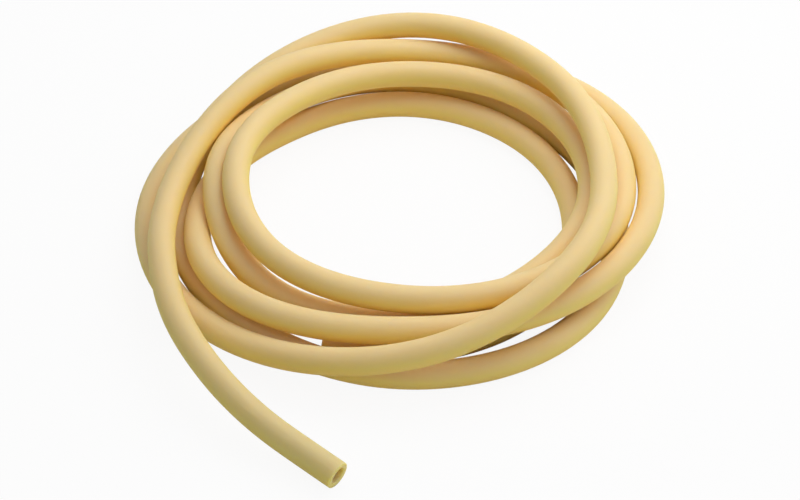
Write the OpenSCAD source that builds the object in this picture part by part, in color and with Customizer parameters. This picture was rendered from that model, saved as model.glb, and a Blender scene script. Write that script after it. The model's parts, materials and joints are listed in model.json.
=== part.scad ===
// One length of natural rubber tubing, wound by hand into a loose coil.
// Just under six turns lie on and beside each other. One end is led out over the
// front of the coil and slopes down to the bench, the other lies under the turns.
// Left is -X, the front is -Y and the coil's axis is vertical. Millimetres.

/* [Tubing] */
// outside diameter of the tubing
tube_od = 10; // [9:0.5:12]
// thickness of the tubing's wall
tube_wall = 2; // [1.5:0.25:2.5]

/* [Coil] */
// radius of the innermost lane, from the coil's axis to the tubing's centreline
inner_r = 61.2; // [56:0.4:76]
// clearance left between turns that lie against each other
turn_gap = 0.2; // [0.2:0.05:0.5]

/* [Ends] */
// straight length at the free end, which a fitting is pushed into
free_end_len = 24; // [18:1:30]
// straight length at the end under the coil
under_end_len = 6; // [5:1:7]

/* [Hidden] */
$fn = 96;
// flats round the tubing where it bends, and rings of them in each turn of the coil
flats = 12;
rings_per_turn = 25;

bore_r = tube_od / 2 - tube_wall;
pitch = tube_od + turn_gap;

// How the turns lie, at eight bearings a turn, from the left over the back, the right
// and the front. A lane is counted outward from the innermost, and a layer upward from
// the bench, both in pitches. Each row is one turn, the free end's turn first.
lanes = [
    [2.45, 1.61, 1.65, 2.30, 1.87, 1.13, 0.32, 0.60],
    [0.25, 0.05, 0.40, 0.78, 0.70, 0.20, 0.15, 1.00],
    [1.03, 1.02, 1.30, 1.15, 1.52, 2.41, 2.47, 2.45],
    [2.46, 2.47, 2.51, 1.40, 1.00, 1.90, 2.83, 3.50],
    [3.60, 3.00, 2.90, 3.35, 2.92, 2.15, 1.44, 2.48],
    [1.53, 0.67, 0.33, 0.05, 0.10, 0.72, 1.18, 1.55]
];
layers = [
    [1.60, 2.15, 1.55, 1.05, 1.05, 1.55, 1.60, 2.05],
    [2.30, 1.90, 1.45, 1.30, 1.20, 0.90, 0.46, 0.80],
    [1.65, 1.00, 0.45, 0.05, 0, 0, 0.05, 0.30],
    [0, 1.38, 2.23, 2.52, 2.45, 2.55, 1.35, 0.50],
    [0.10, 0, 0.05, 0.35, 0.90, 1.20, 1.20, 1.45],
    [0.57, 0, 0, 0, 0, 0, 0, 0]
];
// lane and layer that the first turn comes from, and the turns in all
lead_in = [4.70, 1.55];
turns = 5.8;

// The free end's route down from the coil's left side: x, y and layer, in pitches,
// with x and y counted from the point where it leaves the coil.
tail = [
    [-0.25, -1.60, 1.60],
    [-0.32, -3.20, 1.60],
    [-0.10, -4.90, 1.55],
    [0.25, -6.30, 1.45],
    [0.75, -7.50, 1.30],
    [1.45, -8.70, 1.15],
    [2.25, -9.75, 0.90],
    [3.20, -10.70, 0.60]
];
// where its straight end begins, which way that points and how steeply it comes down
tail_end = [4.20, -11.50];
free_bearing = -37;
free_slope = 0.13;

// ---- the coil's route, worked out from the lanes and layers ----

// a smooth curve through four values, with f from 0 at the second to 1 at the third
function ease(a, b, c, d, f) =
    b * (2 * f * f * f - 3 * f * f + 1) + (c - a) / 2 * (f * f * f - 2 * f * f + f)
    + c * (3 * f * f - 2 * f * f * f) + (d - b) / 2 * (f * f * f - f * f);

// entry number i of a table of turns, and what comes before its first and after its last
function entry(rows, lead, i) =
    let (n = len(rows) * 8)
    i < 0 ? lead
    : i < n ? rows[floor(i / 8)][i % 8]
    : 2 * rows[len(rows) - 1][7] - rows[len(rows) - 1][6];

function along(rows, lead, turn) =
    let (j = floor(turn * 8), f = turn * 8 - j)
    ease(entry(rows, lead, j - 1), entry(rows, lead, j), entry(rows, lead, j + 1),
         entry(rows, lead, j + 2), f);

function coil_point(turn) =
    let (r = inner_r + pitch * along(lanes, lead_in[0], turn),
         z = max(0, along(layers, lead_in[1], turn)))
    [-r * cos(360 * turn), r * sin(360 * turn), tube_od / 2 + pitch * z];

coil_steps = round(turns * rings_per_turn);
coil_route = [for (i = [0 : coil_steps]) coil_point(turns * i / coil_steps)];

// ---- the free end's route ----

function tail_point(p) =
    [coil_route[0][0] + pitch * p[0], pitch * p[1], tube_od / 2 + pitch * p[2]];

free_dir = [cos(free_bearing) * sqrt(1 - free_slope * free_slope),
            sin(free_bearing) * sqrt(1 - free_slope * free_slope), -free_slope];
// the flats run straight over this length before a round end starts
lead = 1;
// the free end's lower rim just meets the bench
free_tip_z = tube_od / 2 * sqrt(1 - free_slope * free_slope);
tail_marks = [
    [coil_route[0][0] + pitch * tail_end[0], pitch * tail_end[1],
     free_tip_z + free_slope * (free_end_len + lead)],
    for (i = [len(tail) - 1 : -1 : 0]) tail_point(tail[i]),
    coil_route[0], coil_route[1]
];
function mark(i) =
    i < 0 ? tail_marks[0] + free_dir * norm(tail_marks[0] - tail_marks[1]) : tail_marks[i];

tail_route = [
    for (i = [0 : len(tail)]) for (f = [0, 0.5])
        ease(mark(i - 1), mark(i), mark(i + 1), mark(i + 2), f)
];

bent = concat(tail_route, coil_route);
last = len(bent) - 1;

// ---- the cut ends, each straight along the route's own direction ----

function unit(v) = v / norm(v);

under_dir = unit(1.5 * (bent[last] - bent[last - 1]) - 0.5 * (bent[last - 1] - bent[last - 2]));
// and run on this far inside each round end
seat = 2;

route = concat(
    [bent[0] + free_dir * (seat + lead)], bent, [bent[last] + under_dir * (seat + lead)]
);
count = len(route);

// direction of travel at each point of the route
function heading(i) =
    i <= 1 ? -free_dir
    : i >= count - 2 ? under_dir
    : unit(unit(route[i + 1] - route[i]) + unit(route[i] - route[i - 1]));

// one ring of points round the route, square to it
function ring(i, r) =
    let (t = heading(i), side = unit(cross(t, [0, 0, 1])), up = cross(side, t))
    [for (k = [0 : flats - 1])
        route[i] + r * (cos(360 * k / flats) * side + sin(360 * k / flats) * up)];

// the outside lies just within the round ends, and the bore just outside theirs
outer_ring_r = tube_od / 2 - 0.01;
bore_ring_r = (bore_r + 0.005) / cos(180 / flats);

function wrap(k) = (k + 1) % flats;

outer_points = [for (i = [0 : count - 1]) each ring(i, outer_ring_r)];
bore_points = [for (i = [0 : count - 1]) each ring(i, bore_ring_r)];
shell_points = concat(outer_points, bore_points);
half = count * flats;

shell_faces = concat(
    [for (i = [0 : count - 2]) for (k = [0 : flats - 1]) each [
        [i * flats + k, (i + 1) * flats + wrap(k), (i + 1) * flats + k],
        [i * flats + k, i * flats + wrap(k), (i + 1) * flats + wrap(k)]]],
    [for (i = [0 : count - 2]) for (k = [0 : flats - 1]) each [
        [half + i * flats + k, half + (i + 1) * flats + k, half + (i + 1) * flats + wrap(k)],
        [half + i * flats + k, half + (i + 1) * flats + wrap(k), half + i * flats + wrap(k)]]],
    [for (k = [0 : flats - 1]) each [
        [k, half + wrap(k), wrap(k)], [k, half + k, half + wrap(k)]]],
    [for (k = [0 : flats - 1]) let (a = (count - 1) * flats) each [
        [a + k, a + wrap(k), half + a + wrap(k)], [a + k, half + a + wrap(k), half + a + k]]]
);

// ---- the part's own origin: the middle of its footprint, on the bench ----

free_tip = bent[0] + free_dir * (free_end_len + lead);
under_tip = bent[last] + under_dir * (under_end_len + lead);

function reach_along(p, d, axis) = tube_od / 2 * sqrt(max(0, 1 - d[axis] * d[axis]));
xs_low = concat([for (p = bent) p[0] - tube_od / 2],
                [free_tip[0] - reach_along(free_tip, free_dir, 0)]);
xs_high = concat([for (p = bent) p[0] + tube_od / 2],
                 [free_tip[0] + reach_along(free_tip, free_dir, 0)]);
ys_low = concat([for (p = bent) p[1] - tube_od / 2],
                [free_tip[1] - reach_along(free_tip, free_dir, 1)]);
ys_high = concat([for (p = bent) p[1] + tube_od / 2],
                 [free_tip[1] + reach_along(free_tip, free_dir, 1)]);
middle = [(min(xs_low) + max(xs_high)) / 2, (min(ys_low) + max(ys_high)) / 2, 0];

// turns its child from upright to the given direction
module aim(d) {
    rotate([0, acos(d[2]), atan2(d[1], d[0])]) children();
}

// a straight, round, square-cut end that runs back from the tip
module cut_end(tip, d, length) {
    translate(tip) aim(d) translate([0, 0, -length]) difference() {
        cylinder(r = tube_od / 2, h = length);
        translate([0, 0, -1]) cylinder(r = bore_r, h = length + 2);
    }
}

// the piece to build

module tubing() {
    color([0.86, 0.74, 0.50])
    translate(-middle) union() {
        polyhedron(points = shell_points, faces = shell_faces, convexity = 12);
        cut_end(free_tip, free_dir, free_end_len);
        cut_end(under_tip, under_dir, under_end_len);
    }
}

tubing();
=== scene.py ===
import json
import math

import bpy
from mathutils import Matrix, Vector


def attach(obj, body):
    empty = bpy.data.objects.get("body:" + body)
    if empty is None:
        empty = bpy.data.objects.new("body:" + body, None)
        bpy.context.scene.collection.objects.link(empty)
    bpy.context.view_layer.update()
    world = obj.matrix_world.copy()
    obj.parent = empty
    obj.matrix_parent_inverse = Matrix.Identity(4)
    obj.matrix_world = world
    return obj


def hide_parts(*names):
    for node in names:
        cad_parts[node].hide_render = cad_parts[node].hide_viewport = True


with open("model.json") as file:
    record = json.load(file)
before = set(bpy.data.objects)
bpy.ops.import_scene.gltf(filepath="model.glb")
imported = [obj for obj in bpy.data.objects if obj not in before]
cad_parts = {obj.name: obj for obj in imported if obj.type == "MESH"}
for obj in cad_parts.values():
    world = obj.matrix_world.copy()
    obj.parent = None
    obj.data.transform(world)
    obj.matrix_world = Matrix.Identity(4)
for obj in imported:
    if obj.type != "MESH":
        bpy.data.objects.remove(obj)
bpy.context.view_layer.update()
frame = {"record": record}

# ---- sizes, in metres, the same as in part.scad ----

TUBE_OD = 0.010
TUBE_WALL = 0.002
TURN_GAP = 0.0002
INNER_R = 0.0612
FREE_END_LEN = 0.024
UNDER_END_LEN = 0.006
LEAD = 0.001

PITCH = TUBE_OD + TURN_GAP
TUBE_R = TUBE_OD / 2
BORE_R = TUBE_R - TUBE_WALL

# How the turns lie, at eight bearings a turn, from the left over the back, the right and
# the front. A lane is counted outward from the innermost, and a layer upward from the
# bench, both in pitches. Each row is one turn, the free end's turn first.
LANES = [
    [2.45, 1.61, 1.65, 2.30, 1.87, 1.13, 0.32, 0.60],
    [0.25, 0.05, 0.40, 0.78, 0.70, 0.20, 0.15, 1.00],
    [1.03, 1.02, 1.30, 1.15, 1.52, 2.41, 2.47, 2.45],
    [2.46, 2.47, 2.51, 1.40, 1.00, 1.90, 2.83, 3.50],
    [3.60, 3.00, 2.90, 3.35, 2.92, 2.15, 1.44, 2.48],
    [1.53, 0.67, 0.33, 0.05, 0.10, 0.72, 1.18, 1.55],
]
LAYERS = [
    [1.60, 2.15, 1.55, 1.05, 1.05, 1.55, 1.60, 2.05],
    [2.30, 1.90, 1.45, 1.30, 1.20, 0.90, 0.46, 0.80],
    [1.65, 1.00, 0.45, 0.05, 0, 0, 0.05, 0.30],
    [0, 1.38, 2.23, 2.52, 2.45, 2.55, 1.35, 0.50],
    [0.10, 0, 0.05, 0.35, 0.90, 1.20, 1.20, 1.45],
    [0.57, 0, 0, 0, 0, 0, 0, 0],
]
LEAD_IN = (4.70, 1.55)
TURNS = 5.8
BEARINGS = 8

# The free end's route down from the coil's left side: x, y and layer, in pitches, with
# x and y counted from the point where it leaves the coil.
TAIL = [
    [-0.25, -1.60, 1.60],
    [-0.32, -3.20, 1.60],
    [-0.10, -4.90, 1.55],
    [0.25, -6.30, 1.45],
    [0.75, -7.50, 1.30],
    [1.45, -8.70, 1.15],
    [2.25, -9.75, 0.90],
    [3.20, -10.70, 0.60],
]
TAIL_END = (4.20, -11.50)
FREE_BEARING = math.radians(-37)
FREE_SLOPE = 0.13

# ---- the mesh's fineness ----

RINGS_PER_TURN = 160
RINGS_PER_TAIL_MARK = 8
RINGS_IN_FREE_END = 10
RINGS_IN_UNDER_END = 4
# how often each point of the line is eased towards its neighbours
EASE_PASSES = 12
# part.scad's own rings in a turn: its free end leaves the coil in line with the first
CAD_RINGS_PER_TURN = 25
SIDES = 40
RIM_ROUND = 0.0005
RIM_STEPS = 6

# ---- colours, as red, green and blue, and finish ----

# the tubing's skin where it faces up, sideways and down: pale on top is a painted highlight,
# amber underneath is painted shade
SKIN_LIT_PALE = (0.95, 0.645, 0.32)
SKIN_GOLD = (0.955, 0.675, 0.195)
SKIN_SHADED_AMBER = (0.965, 0.63, 0.165)
SKIN_ROUGHNESS = 0.55
# the same on a cut end, with the same painted highlight on top and painted shade underneath
CUT_LIT_PALE = (0.95, 0.66, 0.34)
CUT_GOLD = (0.96, 0.66, 0.25)
CUT_SHADED_AMBER = (0.965, 0.655, 0.22)
CUT_ROUGHNESS = 0.6
# painted shade: what the colour is multiplied by at the free end's tip, darker and greyer
# there, and how far from it that fades out
FREE_END_SHADE_TINT = (0.78, 0.94, 0.93)
FREE_END_SHADE_LENGTH = 0.17
# cloudy patches and specks in a metre, and the die's lines along a metre and round the skin
CLOUDS_PER_M = 28
SPECKS_PER_M = 1400
LINES_ALONG_M = 18
LINES_ROUND = 34
# the height that the lines and specks stand out by, and how much of it shows
RELIEF = 0.0004
RELIEF_STRENGTH = 0.08
# how far light goes into the rubber, and red, green and blue's share of that
LIGHT_DEPTH = 0.0035
LIGHT_SHARES = (1.0, 0.9, 0.6)
FLOOR_WHITE = (0.86, 0.86, 0.86)
# the share of the floor that the camera sees as plain white, without its shadow
FLOOR_GLOW = 0.92
FLOOR_SIZE = 6

# ---- the camera and the lights ----

CAMERA_ELEVATION = math.radians(42)
CAMERA_DISTANCE = 0.873
CAMERA_LENS = 104
CAMERA_SENSOR = 36
CAMERA_SHIFT = (-0.011, -0.035)
CAMERA_CLIP_START = 0.05

# the side that the sky is brightest on, and its strength opposite that and on it
SKY_SIDE = Vector((0.62, 0.6, 0.5))
SKY_DIM = 0.20
SKY_BRIGHT = 0.74
# each lamp's name, place, diameter and power
LAMPS = [
    ("key", (0.12, 0.16, 0.36), 0.4, 0.8),
    ("fill", (0.35, -0.50, 0.70), 0.9, 0.9),
]


# ---- the tubing's route ----

def ease(a, b, c, d, f):
    """A smooth curve through four values, with f from 0 at the second to 1 at the third."""
    return (b * (2 * f**3 - 3 * f**2 + 1) + (c - a) / 2 * (f**3 - 2 * f**2 + f)
            + c * (3 * f**2 - 2 * f**3) + (d - b) / 2 * (f**3 - f**2))


def entry(rows, lead, i):
    if i < 0:
        return lead
    if i < len(rows) * BEARINGS:
        return rows[i // BEARINGS][i % BEARINGS]
    return 2 * rows[-1][-1] - rows[-1][-2]


def along(rows, lead, turn):
    j = math.floor(turn * BEARINGS)
    values = [entry(rows, lead, j + k) for k in (-1, 0, 1, 2)]
    return ease(*values, turn * BEARINGS - j)


def coil_point(turn):
    r = INNER_R + PITCH * along(LANES, LEAD_IN[0], turn)
    layer = max(0, along(LAYERS, LEAD_IN[1], turn))
    angle = math.tau * turn
    return Vector((-r * math.cos(angle), r * math.sin(angle), TUBE_R + PITCH * layer))


def free_direction():
    level = math.sqrt(1 - FREE_SLOPE**2)
    return Vector((math.cos(FREE_BEARING) * level, math.sin(FREE_BEARING) * level, -FREE_SLOPE))


def tail_points(join, after_join):
    """The free end's bent stretch, from its straight end up to where it joins the coil."""
    direction = free_direction()
    tip_z = TUBE_R * math.sqrt(1 - FREE_SLOPE**2)
    start = Vector((join.x + PITCH * TAIL_END[0], PITCH * TAIL_END[1],
                    tip_z + FREE_SLOPE * (FREE_END_LEN + LEAD)))
    marks = [start]
    for x, y, layer in reversed(TAIL):
        marks.append(Vector((join.x + PITCH * x, PITCH * y, TUBE_R + PITCH * layer)))
    marks += [join, after_join]
    before = start + direction * (start - marks[1]).length
    marks.insert(0, before)
    points = []
    for i in range(1, len(marks) - 2):
        for step in range(RINGS_PER_TAIL_MARK):
            points.append(ease(*marks[i - 1:i + 3], step / RINGS_PER_TAIL_MARK))
    return points


def straight(tip, inner, count):
    """Points from a cut end's tip back to where the bend starts, that point left out."""
    return [tip.lerp(inner, i / count) for i in range(count)]


def smoothed(points, passes):
    """The same line with each inner point eased towards its neighbours."""
    for _ in range(passes):
        middle = [(a + 2 * b + c) / 4 for a, b, c in zip(points, points[1:], points[2:])]
        points = [points[0]] + middle + [points[-1]]
    return points


def centreline():
    """The line from the free end's tip to the hidden end's, about the coil's own axis."""
    steps = math.ceil(TURNS * RINGS_PER_TURN)
    coil = [coil_point(TURNS * i / steps) for i in range(steps + 1)]
    tail = tail_points(coil[0], coil_point(TURNS / round(TURNS * CAD_RINGS_PER_TURN)))
    bent = tail + coil
    free_tip = tail[0] + free_direction() * (FREE_END_LEN + LEAD)
    last = (coil[-1] - coil[-2]).normalized()
    under_tip = coil[-1] + last * (UNDER_END_LEN + LEAD)
    free_end = straight(free_tip, tail[0], RINGS_IN_FREE_END)
    under_end = straight(under_tip, coil[-1], RINGS_IN_UNDER_END)
    return smoothed(free_end + bent + under_end[::-1], EASE_PASSES)


# ---- the tubing's skin ----

def heading(line, i):
    a = line[max(i - 1, 0)]
    b = line[min(i + 1, len(line) - 1)]
    return (b - a).normalized()


def ring(centre, direction, radius, sides):
    side = direction.cross(Vector((0, 0, 1))).normalized()
    up = side.cross(direction)
    angles = [math.tau * k / sides for k in range(sides)]
    return [centre + radius * (math.cos(a) * side + math.sin(a) * up) for a in angles]


def wall_rings(line, radius, rounding):
    """Centre, heading and radius of each ring of a wall, which turns by rounding into
    the cut face at both ends: inwards on the outside, outwards in the bore."""
    rings = [(centre, heading(line, i), radius) for i, centre in enumerate(line)]
    tips = (line[0], line[-1])
    between = [r for r in rings if min((r[0] - tip).length for tip in tips) > abs(rounding)]
    rims = []
    for (centre, direction, _), way in ((rings[0], 1), (rings[-1], -1)):
        rim = []
        for step in range(RIM_STEPS):
            angle = math.pi / 2 * step / RIM_STEPS
            back = abs(rounding) * (1 - math.cos(angle)) * way
            inset = rounding * (1 - math.sin(angle))
            rim.append((centre + direction * back, direction, radius - inset))
        rims.append(rim)
    return rims[0] + between + rims[1][::-1]


class TubeMesh:
    """A mesh built wall by wall, with the run along the tubing and round it as its UVs."""

    def __init__(self):
        self.verts, self.faces, self.uvs, self.slots = [], [], [], []

    def wall(self, rings, sides, inward):
        """A tube's wall, and the index of its first and of its last ring's first point."""
        first = len(self.verts)
        runs = [0.0]
        for (a, _, _), (b, _, _) in zip(rings, rings[1:]):
            runs.append(runs[-1] + (b - a).length)
        for centre, direction, radius in rings:
            self.verts.extend(ring(centre, direction, radius, sides))
        for i in range(len(rings) - 1):
            for k in range(sides):
                near, far = first + i * sides, first + (i + 1) * sides
                after = (k + 1) % sides
                corners = [(near + k, runs[i], k), (near + after, runs[i], k + 1),
                           (far + after, runs[i + 1], k + 1), (far + k, runs[i + 1], k)]
                self.face(corners if inward else corners[::-1], sides, 0)
        return first, first + (len(rings) - 1) * sides

    def face(self, corners, sides, slot):
        self.faces.append([index for index, _, _ in corners])
        self.uvs.append([(run, k / sides) for _, run, k in corners])
        self.slots.append(slot)

    def cut(self, outer, bore, sides, flip):
        """The cut face at one end, from the outside's rim to the bore's. Each is given
        by the index of its first point."""
        for k in range(sides):
            after = (k + 1) % sides
            corners = [(outer + k, 0, k), (bore + k, TUBE_WALL, k),
                       (bore + after, TUBE_WALL, k + 1), (outer + after, 0, k + 1)]
            self.face(corners[::-1] if flip else corners, sides, 1)

    def make(self, name):
        mesh = bpy.data.meshes.new(name)
        mesh.from_pydata(self.verts, [], self.faces)
        layer = mesh.uv_layers.new(name="run_and_round")
        flat = [value for face in self.uvs for corner in face for value in corner]
        layer.data.foreach_set("uv", flat)
        mesh.polygons.foreach_set("material_index", self.slots)
        mesh.polygons.foreach_set("use_smooth", [True] * len(self.faces))
        mesh.validate()
        return mesh


def make_tubing(line):
    """The hollow tubing: its outside, its bore and the cut face at each end."""
    tube = TubeMesh()
    outer = tube.wall(wall_rings(line, TUBE_R, RIM_ROUND), SIDES, False)
    bore = tube.wall(wall_rings(line, BORE_R, -RIM_ROUND), SIDES, True)
    tube.cut(outer[0], bore[0], SIDES, True)
    tube.cut(outer[1], bore[1], SIDES, False)
    piece = bpy.data.objects.new("latex_tubing", tube.make("latex_tubing"))
    bpy.context.collection.objects.link(piece)
    return piece


# ---- materials ----

def node(tree, kind, at, **settings):
    made = tree.nodes.new(kind)
    made.location = at
    for key, value in settings.items():
        setattr(made, key, value)
    return made


def new_material(name):
    material = bpy.data.materials.new(name)
    material.use_nodes = True
    material.node_tree.nodes.clear()
    return material, material.node_tree


def noise(tree, at, place, scale, detail):
    texture = node(tree, "ShaderNodeTexNoise", at)
    texture.inputs["Scale"].default_value = scale
    texture.inputs["Detail"].default_value = detail
    tree.links.new(place, texture.inputs["Vector"])
    return texture.outputs["Fac"]


def mixed(tree, at, a, b, share_of_b):
    mix = node(tree, "ShaderNodeMix", at, data_type="FLOAT")
    mix.inputs["Factor"].default_value = share_of_b
    tree.links.new(a, mix.inputs["A"])
    tree.links.new(b, mix.inputs["B"])
    return mix.outputs["Result"]


def facing_up(tree):
    """0 where the surface faces down, and 1 where it faces straight up."""
    surface = node(tree, "ShaderNodeNewGeometry", (-900, 500))
    parts = node(tree, "ShaderNodeSeparateXYZ", (-700, 500))
    tree.links.new(surface.outputs["Normal"], parts.inputs["Vector"])
    level = node(tree, "ShaderNodeMapRange", (-600, 400))
    level.inputs["From Min"].default_value = -0.3
    level.inputs["From Max"].default_value = 0.95
    tree.links.new(parts.outputs["Z"], level.inputs["Value"])
    return level.outputs["Result"]


def painted_light_and_patch_tint(tree, clouds, lines, lit_pale, gold, shaded_amber):
    """Painted shade and highlight: amber underneath, then gold, and pale on top, unevenly."""
    patches = mixed(tree, (-600, 100), clouds, lines, share_of_b=0.35)
    # painted light: three quarters of this is how far the surface faces up, giving a pale
    # painted highlight on top and amber painted shade underneath; the rest is cloudy patches
    # and lines
    painted_light_and_patches = mixed(tree, (-400, 200), facing_up(tree), patches, share_of_b=0.25)
    tint = node(tree, "ShaderNodeValToRGB", (-200, 100))
    stops = tint.color_ramp.elements
    stops[0].position = 0.15
    stops[0].color = (*shaded_amber, 1)
    stops[1].position = 0.85
    stops[1].color = (*lit_pale, 1)
    stops.new(0.42).color = (*gold, 1)
    tree.links.new(painted_light_and_patches, tint.inputs["Fac"])
    return tint.outputs["Color"]


# painted shade: the colour darkens and greys towards the free end's tip, and on its cut face
def painted_shade_at_free_end(tree, run_and_round, colour):
    run = node(tree, "ShaderNodeSeparateXYZ", (-600, -300))
    tree.links.new(run_and_round, run.inputs["Vector"])
    away = node(tree, "ShaderNodeMapRange", (-400, -300))
    away.inputs["From Max"].default_value = FREE_END_SHADE_LENGTH
    tree.links.new(run.outputs["X"], away.inputs["Value"])
    darkening = node(tree, "ShaderNodeValToRGB", (-200, -300))
    darkening.color_ramp.elements[0].color = (*FREE_END_SHADE_TINT, 1)
    darkening.color_ramp.elements[1].color = (1, 1, 1, 1)
    tree.links.new(away.outputs["Result"], darkening.inputs["Fac"])
    shade = node(tree, "ShaderNodeVectorMath", (300, 100), operation="MULTIPLY")
    tree.links.new(colour, shade.inputs[0])
    tree.links.new(darkening.outputs["Color"], shade.inputs[1])
    return shade.outputs["Vector"]


def uneven_roughness(tree, specks, roughness):
    rough = node(tree, "ShaderNodeMapRange", (-100, -600))
    rough.inputs["To Min"].default_value = roughness - 0.06
    rough.inputs["To Max"].default_value = roughness + 0.08
    tree.links.new(specks, rough.inputs["Value"])
    return rough.outputs["Result"]


def fine_relief(tree, lines, specks):
    bump = node(tree, "ShaderNodeBump", (300, -400))
    bump.inputs["Strength"].default_value = RELIEF_STRENGTH
    bump.inputs["Distance"].default_value = RELIEF
    height = mixed(tree, (-300, -500), lines, specks, share_of_b=0.5)
    tree.links.new(height, bump.inputs["Height"])
    return bump.outputs["Normal"]


def latex(name, lit_pale, gold, shaded_amber, roughness):
    """Natural rubber: amber, then gold and pale where it faces up, which is painted shade
    underneath and a painted highlight on top, with cloudy patches, faint lines drawn along it
    by the die, and fine specks. Light goes a little way in.
    Towards the free end it is painted darker and greyer, as painted shade."""
    material, tree = new_material(name)
    link = tree.links.new
    out = node(tree, "ShaderNodeOutputMaterial", (900, 0))
    shader = node(tree, "ShaderNodeBsdfPrincipled", (600, 0))
    link(shader.outputs["BSDF"], out.inputs["Surface"])
    shader.inputs["IOR"].default_value = 1.5
    shader.inputs["Specular IOR Level"].default_value = 0.35
    shader.inputs["Subsurface Weight"].default_value = 1
    shader.inputs["Subsurface Radius"].default_value = LIGHT_SHARES
    shader.inputs["Subsurface Scale"].default_value = LIGHT_DEPTH

    place = node(tree, "ShaderNodeTexCoord", (-1200, 0)).outputs["Object"]
    run_and_round = node(tree, "ShaderNodeUVMap", (-1200, -200), uv_map="run_and_round")
    stretch = node(tree, "ShaderNodeMapping", (-1000, -100))
    stretch.inputs["Scale"].default_value = (LINES_ALONG_M, LINES_ROUND, 1)
    link(run_and_round.outputs["UV"], stretch.inputs["Vector"])
    clouds = noise(tree, (-900, 200), place, scale=CLOUDS_PER_M, detail=3)
    lines = noise(tree, (-800, -100), stretch.outputs["Vector"], scale=1, detail=2)
    specks = noise(tree, (-800, -400), place, scale=SPECKS_PER_M, detail=2)

    tint = painted_light_and_patch_tint(tree, clouds, lines, lit_pale, gold, shaded_amber)
    colour = painted_shade_at_free_end(tree, run_and_round.outputs["UV"], tint)
    link(colour, shader.inputs["Base Color"])
    link(uneven_roughness(tree, specks, roughness), shader.inputs["Roughness"])
    link(fine_relief(tree, lines, specks), shader.inputs["Normal"])
    return material


def white_floor():
    """White to the camera, and still a plain white surface that takes the shadow."""
    material, tree = new_material("white_floor")
    link = tree.links.new
    out = node(tree, "ShaderNodeOutputMaterial", (600, 0))
    surface = node(tree, "ShaderNodeBsdfDiffuse", (0, 100))
    surface.inputs["Color"].default_value = (*FLOOR_WHITE, 1)
    glow = node(tree, "ShaderNodeEmission", (0, -100))
    ray = node(tree, "ShaderNodeLightPath", (0, 400))
    share = node(tree, "ShaderNodeMath", (150, 300), operation="MULTIPLY")
    share.inputs[1].default_value = FLOOR_GLOW
    mix = node(tree, "ShaderNodeMixShader", (300, 0))
    link(ray.outputs["Is Camera Ray"], share.inputs[0])
    link(share.outputs["Value"], mix.inputs["Fac"])
    link(surface.outputs["BSDF"], mix.inputs[1])
    link(glow.outputs["Emission"], mix.inputs[2])
    link(mix.outputs["Shader"], out.inputs["Surface"])
    return material


# ---- the studio ----

def make_floor():
    bpy.ops.mesh.primitive_plane_add(size=FLOOR_SIZE, location=(0, 0, 0))
    floor = bpy.context.object
    floor.name = "studio_floor"
    floor.data.materials.append(white_floor())


def make_camera(foot):
    """Looks down from the front at the foot of the coil's axis."""
    camera_data = bpy.data.cameras.new("camera")
    camera = bpy.data.objects.new("camera", camera_data)
    bpy.context.collection.objects.link(camera)
    back = Vector((0, -math.cos(CAMERA_ELEVATION), math.sin(CAMERA_ELEVATION)))
    camera.location = foot + CAMERA_DISTANCE * back
    camera.rotation_euler = (math.pi / 2 - CAMERA_ELEVATION, 0, 0)
    camera_data.sensor_width = CAMERA_SENSOR
    camera_data.lens = CAMERA_LENS
    camera_data.shift_x, camera_data.shift_y = CAMERA_SHIFT
    camera_data.clip_start = CAMERA_CLIP_START
    bpy.context.scene.camera = camera


def area_lamp(name, place, target, size, power):
    lamp_data = bpy.data.lights.new(name, "AREA")
    lamp_data.shape = "DISK"
    lamp_data.size = size
    lamp_data.energy = power
    lamp = bpy.data.objects.new(name, lamp_data)
    lamp.location = place
    lamp.rotation_euler = (Vector(place) - target).to_track_quat("Z", "Y").to_euler()
    bpy.context.collection.objects.link(lamp)


def light_from(tree, side, dim, bright):
    """Light all round, brightest on one side and weakest opposite it."""
    link = tree.links.new
    sky = tree.nodes["Background"]
    sky.inputs["Color"].default_value = (1, 1, 1, 1)
    place = node(tree, "ShaderNodeTexCoord", (-800, 0))
    toward = node(tree, "ShaderNodeVectorMath", (-600, 0), operation="DOT_PRODUCT")
    toward.inputs[1].default_value = side.normalized()
    link(place.outputs["Generated"], toward.inputs[0])
    level = node(tree, "ShaderNodeMapRange", (-400, 0))
    level.inputs["From Min"].default_value = -0.7
    level.inputs["To Min"].default_value = dim
    level.inputs["To Max"].default_value = bright
    link(toward.outputs["Value"], level.inputs["Value"])
    link(level.outputs["Result"], sky.inputs["Strength"])


def make_light(foot):
    world = bpy.data.worlds.new("studio")
    world.use_nodes = True
    light_from(world.node_tree, SKY_SIDE, SKY_DIM, SKY_BRIGHT)
    bpy.context.scene.world = world
    for name, place, size, power in LAMPS:
        area_lamp(name, place, foot, size, power)
    bpy.context.scene.view_settings.view_transform = "Standard"


# ---- the scene ----

def main():
    route = centreline()
    bore = next(m for m in frame["record"]["mounts"] if m["name"] == "free_end_bore")
    foot = Vector(bore["pos_m"]) - route[0]
    route = [point + foot for point in route]
    make_camera(foot)

    tubing = make_tubing(route)
    # both materials paint a highlight on top, shade underneath, and shade towards the free end
    skin = latex("latex", SKIN_LIT_PALE, SKIN_GOLD, SKIN_SHADED_AMBER, SKIN_ROUGHNESS)
    cut_face = latex("latex_cut", CUT_LIT_PALE, CUT_GOLD, CUT_SHADED_AMBER, CUT_ROUGHNESS)
    tubing.data.materials.append(skin)
    tubing.data.materials.append(cut_face)
    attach(tubing, "root")
    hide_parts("tubing")

    make_floor()
    make_light(foot)


main()
